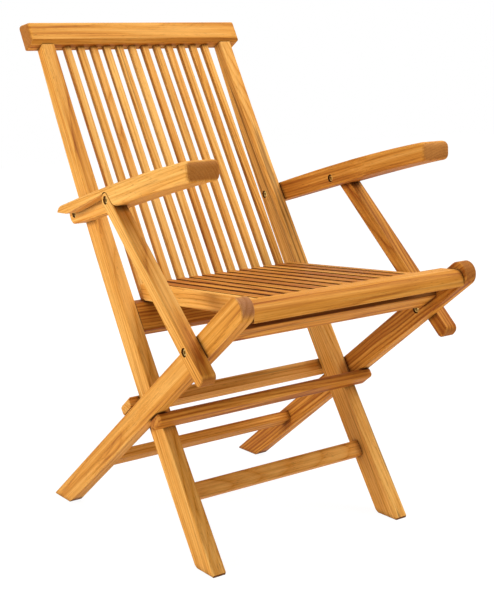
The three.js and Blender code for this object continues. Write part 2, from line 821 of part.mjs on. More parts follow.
function build_back_frame(group) {
  const low_rail = piece(
    'low_back_rail',
    tenoned_rail(low_rail_shape(), inset_box(low_rail_box, tenon_shoulder), frame_rail_half_length, frame_rail_tenon),
    teak_material(),
    low_rail_frame.point,
    low_rail_frame.angle,
    0,
  );
  const stretcher_outline = box_shape(
    stretcher_box.start,
    stretcher_box.end,
    stretcher_box.low,
    stretcher_box.high,
    edge_chamfer,
  );
  const stretcher = piece(
    'front_stretcher',
    tenoned_rail(
      stretcher_outline,
      inset_box(stretcher_box, tenon_shoulder),
      frame_rail_half_length,
      frame_rail_tenon,
    ),
    teak_material(),
    stretcher_frame.point,
    stretcher_frame.angle,
    0,
  );
  const crest = piece('crest_rail', crest_geometry(), teak_material(), crest_frame.point, crest_frame.angle, 0);

  const slat_cutters = [];
  back_slat_places().forEach((across, index) => {
    const name = `back_slat_${String(index + 1).padStart(2, '0')}`;
    const bar = back_slat_geometry(0, slat_chamfer);
    group.add(piece(name, bar, teak_material(), back_slat_foot, back_slat_angle, across));
    slat_cutters.push(cutter(back_slat_geometry(fit_gap, 0), back_slat_foot, back_slat_angle, across));
  });
  group.add(carve(low_rail, slat_cutters));
  group.add(carve(crest, slat_cutters));
  group.add(stretcher);

  const stile_room = cutter(
    extrude(stile_shape(fit_gap / Math.sin(stile_slope)), 2 * (stop_half_length + overrun), 0),
    crossing,
    0,
    0,
  );
  const front_stop = piece('front_stop_rail', front_stop_geometry(), teak_material(), crossing, leg_angle, 0);
  const rear_stop = piece('rear_stop_rail', rear_stop_geometry(), teak_material(), crossing, leg_angle, 0);
  group.add(carve(front_stop, [stile_room]));
  group.add(carve(rear_stop, [stile_room]));

  const top_cut_size = crest_height + crest_thickness;
  const top_cut = new THREE.BoxGeometry(top_cut_size, 2 * top_cut_size, 2 * crest_half_length);
  top_cut.translate(top_cut_size / 2 - fit_gap, 0, 0);
  const frame_mortises = [
    cutter(top_cut, crest_frame.point, crest_frame.angle, 0),
    cutter(
      mortise_bar(inset_box(low_rail_box, tenon_shoulder), frame_rail_half_length, frame_rail_tenon),
      low_rail_frame.point,
      low_rail_frame.angle,
      0,
    ),
    cutter(
      mortise_bar(inset_box(stretcher_box, tenon_shoulder), frame_rail_half_length, frame_rail_tenon),
      stretcher_frame.point,
      stretcher_frame.angle,
      0,
    ),
  ];
  for (const [side, sign] of [['left', 1], ['right', -1]]) {
    const stile = piece(
      `${side}_stile`,
      extrude(stile_shape(0), stile_thickness, edge_chamfer),
      teak_material(),
      crossing,
      0,
      sign * stile_middle,
    );
    group.add(carve(stile, [
      ...frame_mortises,
      pin_hole_at(crossing, stile_outer, sign),
      hole_at(arm_pivot, sign * clear_half_width, stile_thickness, -sign),
    ]));
    group.add(piece(
      `${side}_crossing_pin`,
      pin_geometry(2 * pin_bite + side_gap, 0),
      brass_material(),
      crossing,
      0,
      sign * (stile_outer + side_gap / 2),
    ));
    group.add(piece(
      `${side}_stile_nut`,
      face_out(nut_geometry(stile_thickness, thread_reach), -sign),
      brass_material(),
      arm_pivot,
      0,
      sign * clear_half_width,
    ));
  }
}

function build_leg_frame(group) {
  const tip_rail = piece(
    'leg_tip_rail',
    tenoned_rail(
      box_shape(tip_rail_box.start, tip_rail_box.end, tip_rail_box.low, tip_rail_box.high, edge_chamfer),
      inset_box(tip_rail_box, tenon_shoulder),
      leg_rail_half_length,
      frame_rail_tenon,
    ),
    teak_material(),
    crossing,
    leg_angle,
    0,
  );
  const foot_rail = piece(
    'leg_foot_rail',
    tenoned_rail(
      box_shape(foot_rail_box.start, foot_rail_box.end, foot_rail_box.low, foot_rail_box.high, edge_chamfer),
      inset_box(foot_rail_box, tenon_shoulder),
      leg_rail_half_length,
      frame_rail_tenon,
    ),
    teak_material(),
    crossing,
    leg_angle,
    0,
  );
  group.add(tip_rail);
  group.add(foot_rail);
  const mortises = [tip_rail_box, foot_rail_box].map((box) => cutter(
    mortise_bar(inset_box(box, tenon_shoulder), leg_rail_half_length, frame_rail_tenon),
    crossing,
    leg_angle,
    0,
  ));
  for (const [side, sign] of [['left', 1], ['right', -1]]) {
    const leg = piece(
      `${side}_leg`,
      extrude(leg_shape(), leg_thickness, edge_chamfer),
      teak_material(),
      crossing,
      leg_angle,
      sign * leg_middle,
    );
    group.add(carve(leg, [
      ...mortises,
      pin_hole_at(crossing, stile_outer, sign),
      pin_hole_at(seat_pivot, seat_front_half_length, sign),
      hole_at(strut_foot_pivot, sign * leg_inner, leg_thickness, -sign),
    ]));
    group.add(piece(
      `${side}_leg_nut`,
      face_out(nut_geometry(leg_thickness, 0), -sign),
      brass_material(),
      strut_foot_pivot,
      0,
      sign * leg_inner,
    ));
  }
}

function build_seat(group) {
  const front_rail = piece(
    'seat_front_rail',
    seat_front_rail_geometry(),
    teak_material(),
    seat_pivot,
    -seat_slope,
    0,
  );
  const rear_rail = piece(
    'seat_rear_rail',
    seat_rear_rail_geometry(),
    teak_material(),
    seat_pivot,
    -seat_slope,
    0,
  );
  const cutters = [];
  seat_slat_places().forEach((across, index) => {
    const name = `seat_slat_${String(index + 1).padStart(2, '0')}`;
    group.add(piece(name, seat_slat_geometry(0, slat_chamfer), teak_material(), seat_pivot, -seat_slope, across));
    cutters.push(cutter(seat_slat_geometry(fit_gap, 0), seat_pivot, -seat_slope, across));
  });
  group.add(carve(rear_rail, cutters));
  for (const [side, sign] of [['left', 1], ['right', -1]]) {
    const across = sign * (seat_side_outer - seat_side_rail_thickness / 2);
    const side_rail = piece(
      `seat_${side}_rail`,
      seat_side_rail_geometry(),
      teak_material(),
      seat_pivot,
      -seat_slope,
      across,
    );
    const mortise = mortise_bar(seat_rear_tenon_box, seat_side_inner - fit_gap, seat_rear_tenon);
    group.add(carve(side_rail, [cutter(mortise, seat_pivot, -seat_slope, 0)]));
    cutters.push(cutter(seat_side_tenon(fit_gap), seat_pivot, -seat_slope, across));
    cutters.push(pin_hole_at(seat_pivot, seat_front_half_length, sign));
    group.add(piece(
      `${side}_seat_pin`,
      pin_geometry(2 * pin_bite + side_gap, 0),
      brass_material(),
      seat_pivot,
      0,
      sign * (seat_front_half_length + side_gap / 2),
    ));
  }
  group.add(carve(front_rail, cutters));
}

function build_arm(group, side, sign) {
  const room_middle = leg_outer + (strut_thickness + side_gap + overrun) / 2;
  const arm = piece(
    `${side}_arm`,
    extrude(arm_shape(), strut_outer - arm_inner, arm_edge_round, arm_edge_steps),
    teak_material(),
    arm_pivot,
    0,
    sign * arm_middle,
  );
  group.add(carve(arm, [
    cutter(strut_room_geometry(), arm_pivot, 0, sign * room_middle),
    cutter(behind_grip_geometry(sign), arm_pivot, 0, sign * leg_inner),
    hole_at(arm_pivot, sign * leg_outer, leg_thickness, sign),
    hole_at(strut_head_pivot, sign * leg_inner, leg_thickness, -sign),
  ]));
  group.add(piece(
    `${side}_arm_screw`,
    face_out(screw_geometry(leg_thickness, thread_reach), sign),
    brass_material(),
    arm_pivot,
    0,
    sign * leg_outer,
  ));
  group.add(piece(
    `${side}_arm_nut`,
    face_out(nut_geometry(leg_thickness, thread_reach), -sign),
    brass_material(),
    strut_head_pivot,
    0,
    sign * leg_inner,
  ));
}

function build_strut(group, side, sign) {
  const strut = piece(
    `${side}_strut`,
    extrude(strut_shape(), strut_thickness, edge_chamfer),
    teak_material(),
    strut_head_pivot,
    strut_angle,
    sign * strut_middle,
  );
  group.add(carve(strut, [
    hole_at(strut_head_pivot, sign * strut_outer, strut_thickness, sign),
    hole_at(strut_foot_pivot, sign * strut_outer, strut_thickness, sign),
  ]));
  group.add(piece(
    `${side}_strut_head_screw`,
    face_out(screw_geometry(strut_thickness, thread_reach), sign),
    brass_material(),
    strut_head_pivot,
    0,
    sign * strut_outer,
  ));
  group.add(piece(
    `${side}_strut_foot_screw`,
    face_out(screw_geometry(strut_thickness, 0), sign),
    brass_material(),
    strut_foot_pivot,
    0,
    sign * strut_outer,
  ));
}

function build_chair() {
  const chair = new THREE.Group();
  const linkage = new THREE.Group();
  linkage.quaternion.setFromRotationMatrix(cycled_axes);
  linkage.position.z = crossing_height;
  build_back_frame(linkage);
  build_leg_frame(linkage);
  build_seat(linkage);
  for (const [side, sign] of [['left', 1], ['right', -1]]) {
    build_arm(linkage, side, sign);
    build_strut(linkage, side, sign);
  }
  chair.add(linkage);
  chair.updateMatrixWorld(true);
  const middle = new THREE.Box3().setFromObject(chair).getCenter(new THREE.Vector3());
  linkage.position.y = -middle.y;
  chair.updateMatrixWorld(true);
  return chair;
}

export default build_chair();
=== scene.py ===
"""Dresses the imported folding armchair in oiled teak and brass, and sets its camera, light and floor."""

import json
import math
import random

import bmesh
import bpy
import numpy as np
from mathutils import Matrix, Vector


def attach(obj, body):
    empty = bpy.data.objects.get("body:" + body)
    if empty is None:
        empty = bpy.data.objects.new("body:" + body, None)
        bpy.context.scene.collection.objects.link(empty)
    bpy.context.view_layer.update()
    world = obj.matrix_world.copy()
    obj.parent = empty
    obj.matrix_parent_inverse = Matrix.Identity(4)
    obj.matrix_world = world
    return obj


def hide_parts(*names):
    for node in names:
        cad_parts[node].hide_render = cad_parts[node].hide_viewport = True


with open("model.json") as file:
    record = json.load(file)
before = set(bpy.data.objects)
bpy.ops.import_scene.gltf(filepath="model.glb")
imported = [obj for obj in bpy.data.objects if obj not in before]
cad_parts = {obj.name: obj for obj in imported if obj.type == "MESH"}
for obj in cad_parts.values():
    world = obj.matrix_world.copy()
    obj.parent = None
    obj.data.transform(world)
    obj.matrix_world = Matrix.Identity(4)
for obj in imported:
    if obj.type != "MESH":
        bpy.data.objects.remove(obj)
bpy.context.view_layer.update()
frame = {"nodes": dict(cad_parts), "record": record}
scene = bpy.context.scene

MM = 0.001

# Camera of the photograph: its place, its turn and its focal length
CAMERA_PLACE = Vector((-1085.8, -1656.785, 750.5)) * MM
CAMERA_YAW = math.radians(56.44)
CAMERA_PITCH = math.radians(10.10)
CAMERA_ROLL = math.radians(-2.65)
CAMERA_LENS = 68.4
CAMERA_SENSOR = 36.0


# ---------------------------------------------------------------- node helpers

# Sockets of the Mix node that carry colours
MIX_FIRST = 6
MIX_SECOND = 7
MIX_RESULT = 2

# The sRGB curve
BYTE = 255
CURVE_FOOT = 0.04045
CURVE_FOOT_SLOPE = 12.92
CURVE_LIFT = 0.055
CURVE_POWER = 2.4


class Tree:
    """Short ways to add nodes to a material or group and to link them."""

    def __init__(self, tree):
        self.tree = tree

    def node(self, kind, inputs=None, **settings):
        made = self.tree.nodes.new(kind)
        for name, value in settings.items():
            setattr(made, name, value)
        for name, value in (inputs or {}).items():
            self.feed(made.inputs[name], value)
        return made

    def feed(self, socket, value):
        if isinstance(value, bpy.types.NodeSocket):
            self.tree.links.new(value, socket)
        else:
            socket.default_value = value

    def math(self, operation, first, second=0.0, clamp=False):
        made = self.node("ShaderNodeMath", operation=operation, use_clamp=clamp)
        for socket, value in zip(made.inputs, (first, second)):
            self.feed(socket, value)
        return made.outputs[0]

    def vector(self, operation, first, second=(0, 0, 0), scale=None):
        made = self.node("ShaderNodeVectorMath", operation=operation)
        self.feed(made.inputs[0], first)
        self.feed(made.inputs[1], second)
        if scale is not None:
            self.feed(made.inputs["Scale"], scale)
        return made.outputs["Value" if operation in ("LENGTH", "DOT_PRODUCT") else "Vector"]

    def noise(self, place, stretch, detail, roughness, output="Fac"):
        """Noise at a place that is stretched first, by a number for each axis."""
        made = self.node("ShaderNodeTexNoise", {
            "Vector": self.vector("MULTIPLY", place, stretch),
            "Scale": 1.0,
            "Detail": detail,
            "Roughness": roughness,
        })
        return made.outputs[output]

    def span(self, value, low, high, out_low=0.0, out_high=1.0, smooth=True):
        made = self.node(
            "ShaderNodeMapRange",
            {"Value": value, "From Min": low, "From Max": high, "To Min": out_low, "To Max": out_high},
            interpolation_type="SMOOTHSTEP" if smooth else "LINEAR",
        )
        return made.outputs["Result"]

    def mix(self, share, first, second, blend="MIX"):
        made = self.node("ShaderNodeMix", data_type="RGBA", blend_type=blend, clamp_factor=True)
        self.feed(made.inputs["Factor"], share)
        self.feed(made.inputs[MIX_FIRST], first)
        self.feed(made.inputs[MIX_SECOND], second)
        return made.outputs[MIX_RESULT]

    def ramp(self, value, stops):
        made = self.node("ShaderNodeValToRGB", {"Fac": value})
        elements = made.color_ramp.elements
        while len(elements) < len(stops):
            elements.new(0.5)
        for element, (place, shade) in zip(elements, stops):
            element.position = place
            element.color = (shade, shade, shade, 1)
        return made.outputs["Color"]

    def open_share(self, reach, samples):
        """How open the surroundings of a point are, from 0 in a deep corner to 1."""
        return self.node("ShaderNodeAmbientOcclusion", {"Distance": reach}, samples=samples).outputs["AO"]

    def backdrop_rays(self):
        """1 for the rays that show the backdrop, and 0 for those that only carry its light."""
        path = self.node("ShaderNodeLightPath").outputs
        bounced = self.math("MAXIMUM", path["Is Glossy Ray"], path["Is Transmission Ray"])
        return self.math("MAXIMUM", path["Is Camera Ray"], bounced)


def empty_tree(owner):
    """The node tree of a material or world, cleared."""
    owner.use_nodes = True
    owner.node_tree.nodes.clear()
    return Tree(owner.node_tree)


def srgb(red, green, blue):
    """A colour given in 0 to 255, as the linear numbers that a socket takes."""
    def linear(value):
        value /= BYTE
        if value <= CURVE_FOOT:
            return value / CURVE_FOOT_SLOPE
        return ((value + CURVE_LIFT) / (1 + CURVE_LIFT)) ** CURVE_POWER
    return (linear(red), linear(green), linear(blue), 1.0)


# ---------------------------------------------------------------- teak

TEAK_PALE = srgb(242, 187, 101)
TEAK_GOLD = srgb(214, 145, 53)
TEAK_BROWN = srgb(152, 82, 16)
TEAK_DARK = srgb(66, 28, 5)
TEAK_END = srgb(140, 80, 26)
TEAK_END_PALE = srgb(184, 116, 48)
TEAK_RED = (0.86, 0.66, 0.52, 1.0)

# Inputs of the wood group, and its outputs
WOOD_INPUTS = {
    "Centre": "NodeSocketVector",
    "Turn": "NodeSocketVector",
    "Shift": "NodeSocketVector",
    "Pith": "NodeSocketVector",
    "Lean": "NodeSocketVector",
    "Ring": "NodeSocketFloat",
    "Contrast": "NodeSocketFloat",
    "Streaks": "NodeSocketFloat",
    "Tone": "NodeSocketFloat",
    "Red": "NodeSocketFloat",
    "End": "NodeSocketFloat",
    "Painted Shade": "NodeSocketFloat",
    "Drift": "NodeSocketFloat",
    "Side": "NodeSocketFloat",
    "End Pale": "NodeSocketColor",
}
WOOD_OUTPUTS = {"Color": "NodeSocketColor", "Roughness": "NodeSocketFloat", "Height": "NodeSocketFloat"}

# Noises in the wood: the stretch for each axis of the board, the detail and the roughness
SWAY_NOISE = ((3.0, 7.0, 7.0), 2.0, 0.45)
WOBBLE_NOISE = ((6.0, 50.0, 50.0), 1.0, 0.5)
FIBRE_NOISE = ((12.0, 620.0, 620.0), 3.0, 0.6)
RIBBON_NOISE = ((2.6, 150.0, 150.0), 3.0, 0.55)
PATCH_NOISE = ((2.4, 13.0, 13.0), 2.0, 0.5)
PORE_NOISE = ((75.0, 1400.0, 1400.0), 1.0, 0.5)
LINE_NOISE = ((1.5, 95.0, 95.0), 2.0, 0.6)
BAND_NOISE = ((1.1, 24.0, 24.0), 2.0, 0.55)
END_DOT_NOISE = ((300.0, 900.0, 900.0), 2.0, 0.7)
NOISE_MIDDLE = 0.5

# Growth rings: how far they bend in metres, how much they wobble in rings, and their shade from edge to edge
BEND_REACH = (0, 0.022, 0.022)
WOBBLE = 0.6
RING_PROFILE = ((0.0, 0.0), (0.12, 0.45), (0.36, 0.82), (0.70, 1.0), (0.92, 0.60), (1.0, 0.0))
PROFILE_MIDDLE = 0.72

# Where each noise starts and ends to show, and in what range where that isn't 0 to 1
PORE_SPAN = (0.60, 0.70)
PORE_RING_SPAN = (0.55, 0.05, 0.35, 1.0)
LINE_SPAN = (0.60, 0.68)
BAND_SPAN = (0.52, 0.74)
BROWN_SPAN = (0.0, 0.45)
PALE_SPAN = (0.40, 1.0)
FIBRE_SPAN = (0.35, 0.72, 0.0, 0.30)
END_SPAN = (0.34, 0.88)
END_DOT_SPAN = (0.42, 0.66)
ARRIS_SPAN = (0.995, 0.90)
ARRIS_RIBBON_SPAN = (0.35, 0.65, 0.25, 0.6)
PAINTED_SHADE_SPAN = (0.84, 0.30)
SHADED_SIDE_SPAN = (0.55, 0.9)

# How much each noise weighs in the shade, in the end grain, in the roughness and in the relief
RING_WEIGHT = 0.20
RIBBON_WEIGHT = 1.25
PATCH_WEIGHT = 0.95
PORE_WEIGHT = 0.50
BAND_WEIGHT = 0.55
ARRIS_WEIGHT = 0.50
END_RING_WEIGHT = 0.20
END_PATCH_WEIGHT = 0.65
END_DOT_WEIGHT = 0.35
END_LONG_WEIGHT = 0.12
ROUGH_LEAST = 0.56
ROUGH_FIBRE = 0.16
ROUGH_PORE = 0.15
ROUGH_END = 0.15
RELIEF_RING = 0.35
RELIEF_FIBRE = 0.45
RELIEF_PORE = 0.9

ARRIS_REACH = 2.0 * MM
ARRIS_SAMPLES = 4
# reach and samples of the painted shade in joints, corners and gaps
PAINTED_SHADE_REACH = 16.0 * MM
PAINTED_SHADE_SAMPLES = 6
TEAK_BUMP = 0.12
TEAK_BUMP_DEPTH = 0.4 * MM
TEAK_SPECULAR = 0.14
TEAK_COAT = 0.02
TEAK_COAT_ROUGHNESS = 0.35

# Ranges that a board's cut is drawn from where LOOKS doesn't give it
CUT_RANGE = (0, 360)
PITH_RANGE = (0.09, 0.2)
SHIFT_RANGE = (-20, 20)
LEAN_RANGE = (-0.05, 0.05)
RING_RANGE = (0.0045, 0.0075)
CONTRAST_RANGE = (0.25, 0.45)
STREAKS_RANGE = (0.1, 0.45)
TONE_RANGE = (0.45, 0.6)
RED_RANGE = (0.0, 0.3)
USUAL_END = 1.0
USUAL_PAINTED_SHADE = 0.85


def teak_group():
    """Teak from its growth rings, fibres, pores and mineral streaks, seen in the frame of one board."""
    group = bpy.data.node_groups.new("teak_wood", "ShaderNodeTree")
    for in_out, sockets in (("INPUT", WOOD_INPUTS), ("OUTPUT", WOOD_OUTPUTS)):
        for name, kind in sockets.items():
            group.interface.new_socket(name=name, in_out=in_out, socket_type=kind)
    t = Tree(group)
    given = t.node("NodeGroupInput").outputs
    body = t.node("ShaderNodeTexCoord").outputs
    place = t.node("ShaderNodeMapping", {
        "Vector": body["Object"], "Location": given["Centre"], "Rotation": given["Turn"],
    }, vector_type="TEXTURE").outputs["Vector"]
    normal = t.node("ShaderNodeMapping", {
        "Vector": body["Normal"], "Rotation": given["Turn"],
    }, vector_type="TEXTURE").outputs["Vector"]
    seeded = t.vector("ADD", place, given["Shift"])

    # The distance from the pith, bent a little along the grain, counted in rings
    sway = t.noise(seeded, *SWAY_NOISE, output="Color")
    sway = t.vector("SUBTRACT", sway, (NOISE_MIDDLE, NOISE_MIDDLE, NOISE_MIDDLE))
    swayed = t.vector("ADD", place, t.vector("MULTIPLY", sway, BEND_REACH))
    along = t.node("ShaderNodeSeparateXYZ", {"Vector": place}).outputs["X"]
    pith = t.vector("ADD", given["Pith"], t.vector("SCALE", given["Lean"], scale=along))
    spoke = t.vector("MULTIPLY", t.vector("SUBTRACT", swayed, pith), (0, 1, 1))
    rings = t.math("DIVIDE", t.vector("LENGTH", spoke), given["Ring"])
    rings = t.math("ADD", rings, t.math("MULTIPLY", t.noise(seeded, *WOBBLE_NOISE), WOBBLE))
    share = t.math("FRACT", rings)
    count = t.math("FLOOR", rings)
    ring_shade = t.node("ShaderNodeTexWhiteNoise", {"W": count}, noise_dimensions="1D").outputs["Value"]
    profile = t.ramp(share, RING_PROFILE)

    # Fibres, ribbons, pores and thin dark lines run along the grain
    fibre = t.noise(seeded, *FIBRE_NOISE)
    ribbon = t.noise(seeded, *RIBBON_NOISE)
    patch = t.noise(seeded, *PATCH_NOISE)
    pore = t.span(t.noise(seeded, *PORE_NOISE), *PORE_SPAN)
    pore = t.math("MULTIPLY", pore, t.span(share, *PORE_RING_SPAN))
    line = t.span(t.noise(seeded, *LINE_NOISE), *LINE_SPAN)
    line = t.math("MULTIPLY", line, given["Streaks"])
    band = t.span(t.noise(seeded, *BAND_NOISE), *BAND_SPAN)
    band = t.math("MULTIPLY", band, t.math("MULTIPLY", given["Streaks"], BAND_WEIGHT))

    # Colour, from brown over gold to pale
    light = t.math("MULTIPLY", t.math("SUBTRACT", profile, PROFILE_MIDDLE), given["Contrast"])
    for value, weight in ((ring_shade, RING_WEIGHT), (ribbon, RIBBON_WEIGHT), (patch, PATCH_WEIGHT)):
        value = t.math("SUBTRACT", value, NOISE_MIDDLE)
        light = t.math("ADD", light, t.math("MULTIPLY", value, weight))
    light = t.math("ADD", light, t.math("MULTIPLY", along, given["Drift"]))
    light = t.math("ADD", light, given["Tone"], clamp=True)
    lower = t.mix(t.span(light, *BROWN_SPAN, smooth=False), TEAK_BROWN, TEAK_GOLD)
    colour = t.mix(t.span(light, *PALE_SPAN, smooth=False), lower, TEAK_PALE)
    colour = t.mix(given["Red"], colour, TEAK_RED, "MULTIPLY")
    colour = t.mix(t.span(fibre, *FIBRE_SPAN), colour, TEAK_BROWN)
    colour = t.mix(t.math("MULTIPLY", pore, PORE_WEIGHT), colour, TEAK_DARK)
    colour = t.mix(band, colour, TEAK_BROWN)
    colour = t.mix(line, colour, TEAK_DARK)

    # End grain, where the surface looks along the grain
    facing = t.node("ShaderNodeSeparateXYZ", {"Vector": normal}).outputs
    end = t.math("MULTIPLY", t.span(t.math("ABSOLUTE", facing["X"]), *END_SPAN), given["End"])
    dots = t.span(t.noise(seeded, *END_DOT_NOISE), *END_DOT_SPAN)
    end_rings = t.math("MULTIPLY", profile, END_RING_WEIGHT)
    end_share = t.math("ADD", end_rings, t.math("MULTIPLY", patch, END_PATCH_WEIGHT))
    end_colour = t.mix(end_share, TEAK_END, given["End Pale"])
    end_colour = t.mix(t.math("MULTIPLY", dots, END_DOT_WEIGHT), end_colour, TEAK_DARK)
    end_colour = t.mix(END_LONG_WEIGHT, end_colour, colour)
    colour = t.mix(end, colour, end_colour)

    # Rounded arrises are paler, partly from rubbing and partly as a painted highlight; painted shade darkens
    # the joints, corners and gaps, and a board's sides can carry painted shade too
    rounded = t.node("ShaderNodeBevel", {"Radius": ARRIS_REACH}, samples=ARRIS_SAMPLES).outputs["Normal"]
    flat = t.node("ShaderNodeNewGeometry").outputs["Normal"]
    turned = t.vector("DOT_PRODUCT", rounded, flat)
    # paler rounded edges: partly rubbed wear, partly a painted highlight
    worn_and_highlit = t.math("MULTIPLY", t.span(turned, *ARRIS_SPAN), t.span(ribbon, *ARRIS_RIBBON_SPAN))
    colour = t.mix(t.math("MULTIPLY", worn_and_highlit, ARRIS_WEIGHT), colour, TEAK_PALE)
    # painted shade: ambient occlusion darkens the wood in joints, corners, gaps and under parts
    painted_shade = t.span(t.open_share(PAINTED_SHADE_REACH, PAINTED_SHADE_SAMPLES), *PAINTED_SHADE_SPAN)
    painted_shade = t.math("MULTIPLY", painted_shade, given["Painted Shade"])
    # painted shade: the faces across a board's width are darkened
    side = t.math("MULTIPLY", t.span(t.math("ABSOLUTE", facing["Y"]), *SHADED_SIDE_SPAN), given["Side"])
    colour = t.mix(t.math("MAXIMUM", painted_shade, side), colour, TEAK_DARK)

    rough = t.math("ADD", ROUGH_LEAST, t.math("MULTIPLY", fibre, ROUGH_FIBRE))
    rough = t.math("ADD", rough, t.math("MULTIPLY", pore, ROUGH_PORE))
    rough = t.math("ADD", rough, t.math("MULTIPLY", end, ROUGH_END), clamp=True)
    height = t.math("MULTIPLY", profile, RELIEF_RING)
    height = t.math("ADD", height, t.math("MULTIPLY", fibre, RELIEF_FIBRE))
    height = t.math("SUBTRACT", height, t.math("MULTIPLY", pore, RELIEF_PORE))
    out = t.node("NodeGroupOutput")
    t.feed(out.inputs["Color"], colour)
    t.feed(out.inputs["Roughness"], rough)
    t.feed(out.inputs["Height"], height)
    return group


TEAK = teak_group()


def teak_material(name, seed, place, **look):
    """One board's own cut of the wood."""
    chance = random.Random(seed)
    material = bpy.data.materials.new(f"teak_{name}")
    t = empty_tree(material)
    angle = math.radians(look.get("cut", chance.uniform(*CUT_RANGE)))
    distance = look.get("distance", chance.uniform(*PITH_RANGE))
    shift = tuple(chance.uniform(*SHIFT_RANGE) for _ in range(3))
    lean_y = look.get("lean_y", chance.uniform(*LEAN_RANGE))
    lean_z = look.get("lean_z", chance.uniform(*LEAN_RANGE))
    inputs = {
        "Centre": place.translation,
        "Turn": place.to_euler(),
        "Shift": shift,
        "Pith": (0, distance * math.cos(angle), distance * math.sin(angle)),
        "Lean": (0, lean_y, lean_z),
        "Ring": look.get("ring", chance.uniform(*RING_RANGE)),
        "Contrast": look.get("contrast", chance.uniform(*CONTRAST_RANGE)),
        "Streaks": look.get("streaks", chance.uniform(*STREAKS_RANGE)),
        "Tone": look.get("tone", chance.uniform(*TONE_RANGE)),
        "Red": look.get("red", chance.uniform(*RED_RANGE)),
        "End": look.get("end", USUAL_END),
        "Painted Shade": look.get("painted_shade", USUAL_PAINTED_SHADE),
        "Drift": look.get("drift", 0.0),
        "Side": look.get("side", 0.0),
        "End Pale": look.get("end_pale", TEAK_END_PALE),
    }
    wood = t.node("ShaderNodeGroup", node_tree=TEAK)
    for socket, value in inputs.items():
        wood.inputs[socket].default_value = value
    bump = t.node("ShaderNodeBump", {
        "Strength": TEAK_BUMP, "Distance": TEAK_BUMP_DEPTH, "Height": wood.outputs["Height"],
    })
    shader = t.node("ShaderNodeBsdfPrincipled", {
        "Base Color": wood.outputs["Color"],
        "Roughness": wood.outputs["Roughness"],
        "Normal": bump.outputs["Normal"],
        "Specular IOR Level": TEAK_SPECULAR,
        "Coat Weight": TEAK_COAT,
        "Coat Roughness": TEAK_COAT_ROUGHNESS,
    })
    t.node("ShaderNodeOutputMaterial", {"Surface": shader.outputs["BSDF"]})
    return material


# ---------------------------------------------------------------- brass

BRASS_CLEAN = srgb(222, 188, 112)
BRASS_TARNISHED = srgb(158, 112, 52)
BRASS_HOLLOW_SHADE = srgb(70, 46, 22)
BRASS_SHADE_REACH = 2.0 * MM
BRASS_SHADE_SAMPLES = 4
FINISH_NOISE = ((4000, 4000, 4000), 2.0, 0.5)
TARNISH_NOISE = ((260, 260, 260), 3.0, 0.6)
TARNISH_SPAN = (0.40, 0.68)
BRASS_ROUGH_LEAST = 0.22
BRASS_ROUGH_TARNISH = 0.25
BRASS_ROUGH_FINISH = 0.12
BRASS_BUMP = 0.12
BRASS_BUMP_DEPTH = 0.1 * MM


def brass_material():
    """Brass with a fine finish, a little tarnish and painted shade in its hollows."""
    material = bpy.data.materials.new("brass_turned")
    t = empty_tree(material)
    place = t.node("ShaderNodeTexCoord").outputs["Object"]
    lathe = t.node("ShaderNodeCombineXYZ", {
        "X": t.vector("LENGTH", t.vector("MULTIPLY", place, (1, 1, 0))),
        "Y": t.node("ShaderNodeSeparateXYZ", {"Vector": place}).outputs["Z"],
    }).outputs["Vector"]
    finish = t.noise(lathe, *FINISH_NOISE)
    tarnish = t.span(t.noise(place, *TARNISH_NOISE), *TARNISH_SPAN)
    colour = t.mix(tarnish, BRASS_CLEAN, BRASS_TARNISHED)
    # painted shade: ambient occlusion darkens the brass in the socket and other hollows
    colour = t.mix(t.open_share(BRASS_SHADE_REACH, BRASS_SHADE_SAMPLES), BRASS_HOLLOW_SHADE, colour)
    rough = t.math("MULTIPLY", tarnish, BRASS_ROUGH_TARNISH)
    rough = t.math("ADD", rough, t.math("MULTIPLY", finish, BRASS_ROUGH_FINISH))
    rough = t.math("ADD", BRASS_ROUGH_LEAST, rough)
    bump = t.node("ShaderNodeBump", {"Strength": BRASS_BUMP, "Distance": BRASS_BUMP_DEPTH, "Height": finish})
    shader = t.node("ShaderNodeBsdfPrincipled", {
        "Base Color": colour,
        "Roughness": rough,
        "Normal": bump.outputs["Normal"],
        "Metallic": 1.0,
    })
    t.node("ShaderNodeOutputMaterial", {"Surface": shader.outputs["BSDF"]})
    return material


BRASS = brass_material()


# ---------------------------------------------------------------- boards

# Softening of the sawn edges
EDGE_ANGLE = math.radians(22)
EDGE_WIDTH = 0.8 * MM
EDGE_STEPS = 3
FLAT_ANGLE = math.radians(0.3)
FLAT_WEIGHT = 60
WELD_REACH = 0.01 * MM
MOST_CORNERS = 4

# A board that lies this much along x counts as a crosswise one
CROSSWISE = 0.7


def long_frame(mesh):
    """The frame of a board: x along its length, y across its width, z through its thickness."""
    points = np.array([v.co for v in mesh.vertices], float)
    mesh.calc_loop_triangles()
    corners = np.array([triangle.vertices for triangle in mesh.loop_triangles])
    a, b, c = (points[corners[:, i]] for i in range(3))
    area = np.linalg.norm(np.cross(b - a, c - a), axis=1) / 2
    middle = (a + b + c) / 3
    centre = (middle * area[:, None]).sum(0) / area.sum()
    spread = np.zeros((3, 3))
    for corner in (a, b, c, middle):
        offset = corner - centre
        spread += (offset * area[:, None]).T @ offset
    _, axes = np.linalg.eigh(spread)
    x, y = axes[:, 2], axes[:, 1]
    forward = x[0] if abs(x[0]) >= CROSSWISE else x[2]
    x = x if forward > 0 else -x
    y = y if y[np.argmax(np.abs(y))] > 0 else -y
    z = np.cross(x, y)
    place = Matrix.Identity(4)
    for row in range(3):
        place[row][0], place[row][1], place[row][2], place[row][3] = x[row], y[row], z[row], centre[row]
    return place


